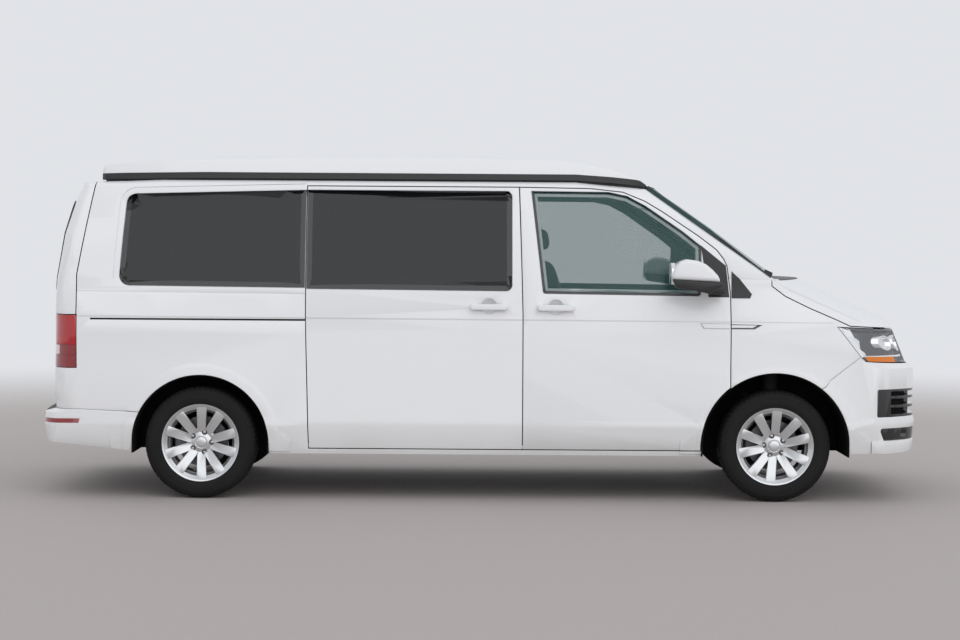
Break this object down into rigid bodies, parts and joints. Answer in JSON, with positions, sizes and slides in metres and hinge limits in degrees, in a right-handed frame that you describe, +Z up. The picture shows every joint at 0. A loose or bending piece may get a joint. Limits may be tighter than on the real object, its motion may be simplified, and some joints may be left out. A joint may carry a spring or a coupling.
{
  "type": "camper van",
  "caption": "Long camper van with hinged front doors, bonnet, tailgate and rising roof, steered and rolling wheels, and a furnished cabin behind real windows.",
  "frame": {"origin": "on the ground below the middle of the van's bounding box", "axes": "+X forwards, +Y to the van's left, +Z up"},
  "size_m": [5.3038, 2.29, 2.0598],
  "materials": {
    "body_paint": "gloss",
    "black_trim": "matte",
    "tinted_glass": "gloss",
    "privacy_glass": "gloss",
    "lamp_lens": "gloss",
    "lamp_housing": "gloss",
    "tail_lamp": "gloss",
    "tyre": "matte",
    "alloy": "satin",
    "rubber": "matte",
    "chassis": "satin",
    "steel": "satin",
    "engine": "satin",
    "dashboard": "matte",
    "seat_fabric": "woven",
    "furniture": "satin"
  },
  "bodies": {
    "body": {"side_right": "body_paint", "side_left": "body_paint", "roof_shell": "body_paint", "sliding_door": "body_paint", "fenders": "body_paint", "front_bumper": "body_paint", "rear_bumper": "body_paint", "cowl_panel": "black_trim", "grilles": "black_trim", "wheel_liners": "black_trim", "rubber_seals": "rubber", "windscreen": "tinted_glass", "side_windows": "privacy_glass", "headlamp_lenses": "lamp_lens", "headlamps": "lamp_housing", "tail_lamps": "tail_lamp", "floor_pan": "chassis", "front_subframe": "chassis", "rear_axle": "chassis", "exhaust": "steel", "fuel_tank": "black_trim", "engine": "engine", "radiator": "alloy", "dashboard": "dashboard", "steering_wheel": "dashboard", "front_seats": "seat_fabric", "rear_bench": "seat_fabric", "kitchen_unit": "furniture"},
    "door_right": {"door_right": "body_paint", "door_glass_right": "tinted_glass", "mirror_right": "body_paint"},
    "door_left": {"door_left": "body_paint", "door_glass_left": "tinted_glass", "mirror_left": "body_paint"},
    "tailgate": {"tailgate": "body_paint", "tailgate_glass": "privacy_glass"},
    "bonnet": {"bonnet": "body_paint"},
    "pop_top": {"pop_top": "body_paint", "pop_top_band": "black_trim"},
    "knuckle_right": {"knuckle_right": "steel"},
    "knuckle_left": {"knuckle_left": "steel"},
    "wheel_front_right": {"tyre_front_right": "tyre", "rim_front_right": "alloy"},
    "wheel_front_left": {"tyre_front_left": "tyre", "rim_front_left": "alloy"},
    "wheel_rear_right": {"tyre_rear_right": "tyre", "rim_rear_right": "alloy"},
    "wheel_rear_left": {"tyre_rear_left": "tyre", "rim_rear_left": "alloy"}
  },
  "joints": [
    {"name": "door_right_hinge", "type": "hinge", "parent": "body", "child": "door_right", "pos_m": [1.455, -0.948, 0.9], "axis": [0, 0, 1], "range_deg": [0, 65]},
    {"name": "door_left_hinge", "type": "hinge", "parent": "body", "child": "door_left", "pos_m": [1.455, 0.948, 0.9], "axis": [0, 0, -1], "range_deg": [0, 65]},
    {"name": "tailgate_hinge", "type": "hinge", "parent": "body", "child": "tailgate", "pos_m": [-2.29, 0, 1.88], "axis": [0, 1, 0], "range_deg": [0, 85]},
    {"name": "bonnet_hinge", "type": "hinge", "parent": "body", "child": "bonnet", "pos_m": [1.64, 0, 1.3], "axis": [0, -1, 0], "range_deg": [0, 45]},
    {"name": "pop_top_hinge", "type": "hinge", "parent": "body", "child": "pop_top", "pos_m": [-2.262, 0, 1.884], "axis": [0, -1, 0], "range_deg": [0, 20]},
    {"name": "steering_right", "type": "hinge", "parent": "body", "child": "knuckle_right", "pos_m": [1.744, -0.69, 0.33], "axis": [0, 0, 1], "range_deg": [-32, 32]},
    {"name": "steering_left", "type": "hinge", "parent": "body", "child": "knuckle_left", "pos_m": [1.744, 0.69, 0.33], "axis": [0, 0, 1], "range_deg": [-32, 32]},
    {"name": "wheel_front_right_spin", "type": "hinge", "parent": "knuckle_right", "child": "wheel_front_right", "pos_m": [1.744, -0.814, 0.33], "axis": [0, 1, 0], "continuous": true},
    {"name": "wheel_front_left_spin", "type": "hinge", "parent": "knuckle_left", "child": "wheel_front_left", "pos_m": [1.744, 0.814, 0.33], "axis": [0, 1, 0], "continuous": true},
    {"name": "wheel_rear_right_spin", "type": "hinge", "parent": "body", "child": "wheel_rear_right", "pos_m": [-1.656, -0.814, 0.33], "axis": [0, 1, 0], "continuous": true},
    {"name": "wheel_rear_left_spin", "type": "hinge", "parent": "body", "child": "wheel_rear_left", "pos_m": [-1.656, 0.814, 0.33], "axis": [0, 1, 0], "continuous": true}
  ],
  "couplings": [
    {"joint": "steering_left", "follows": "steering_right", "ratio": 1}
  ]
}
